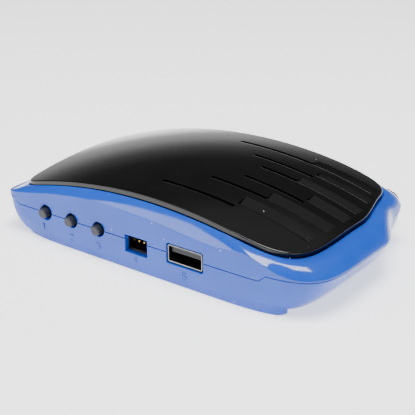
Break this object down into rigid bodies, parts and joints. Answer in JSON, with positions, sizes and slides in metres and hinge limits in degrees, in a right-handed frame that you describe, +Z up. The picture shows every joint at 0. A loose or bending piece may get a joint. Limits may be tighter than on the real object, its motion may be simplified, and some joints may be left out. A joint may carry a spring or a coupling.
{
  "type": "satellite tv receiver",
  "caption": "Compact satellite TV receiver box with arched black cover, two-part blue case, push buttons, side sockets and a threaded aerial connector.",
  "frame": {"origin": "centre of the whole box's outline on the surface it stands on, counting the button tips and the aerial connector", "axes": "+X along the long side, to the right when facing the buttons; +Y from the button side to the aerial side; +Z up"},
  "size_m": [0.1284, 0.0846, 0.028],
  "materials": {
    "blue_case": "blue glossy moulded plastic",
    "black_cover": "black high-gloss moulded plastic",
    "board": "green solder mask",
    "screw_steel": "zinc plated screws",
    "black_matte": "black moulded plastic, satin",
    "button_grey": "dark grey matt plastic",
    "tin_plate": "tin plated steel",
    "nickel": "nickel plated zinc",
    "gold_contact": "gold plated contacts",
    "white_plastic": "white moulded insulator",
    "chip_black": "black epoxy chip packages",
    "heat_aluminium": "anodised extrusion",
    "pad_grey": "thermal pad",
    "cap_sleeve": "dark sleeve over aluminium can",
    "ferrite": "ferrite"
  },
  "bodies": {
    "receiver": {"bottom_case": "blue_case", "top_case": "blue_case", "cover": "black_cover", "circuit_board": "board", "board_screws": "screw_steel", "case_screws": "screw_steel", "power_switch": "black_matte", "channel_down_switch": "black_matte", "channel_up_switch": "black_matte", "switch_contact_domes": "tin_plate", "usb_shell": "tin_plate", "usb_insulator": "black_matte", "usb_contacts": "gold_contact", "usb_base": "black_matte", "data_socket": "black_matte", "data_pins": "gold_contact", "hdmi_shell": "tin_plate", "hdmi_insulator": "black_matte", "hdmi_base": "black_matte", "av_jack": "black_matte", "remote_eye_jack": "black_matte", "power_jack": "black_matte", "power_jack_pin": "nickel", "aerial_connector": "nickel", "aerial_insulator": "white_plastic", "aerial_contact": "gold_contact", "tuner_can": "tin_plate", "tuner_lid": "tin_plate", "tuner_chip": "chip_black", "main_chip": "chip_black", "thermal_pad": "pad_grey", "heat_sink": "heat_aluminium", "memory_chip": "chip_black", "flash_chip": "chip_black", "capacitors": "cap_sleeve", "inductors": "ferrite", "crystal": "tin_plate"},
    "power_button_body": {"power_button": "button_grey"},
    "channel_down_button_body": {"channel_down_button": "button_grey"},
    "channel_up_button_body": {"channel_up_button": "button_grey"}
  },
  "joints": [
    {"name": "power_press", "type": "slide", "parent": "receiver", "child": "power_button_body", "axis": [0, 1, 0], "range_m": [0, 0.0003], "stiffness_N_per_m": 2000, "springref_m": -0.0002},
    {"name": "channel_down_press", "type": "slide", "parent": "receiver", "child": "channel_down_button_body", "axis": [0, 1, 0], "range_m": [0, 0.0003], "stiffness_N_per_m": 2000, "springref_m": -0.0002},
    {"name": "channel_up_press", "type": "slide", "parent": "receiver", "child": "channel_up_button_body", "axis": [0, 1, 0], "range_m": [0, 0.0003], "stiffness_N_per_m": 2000, "springref_m": -0.0002}
  ]
}
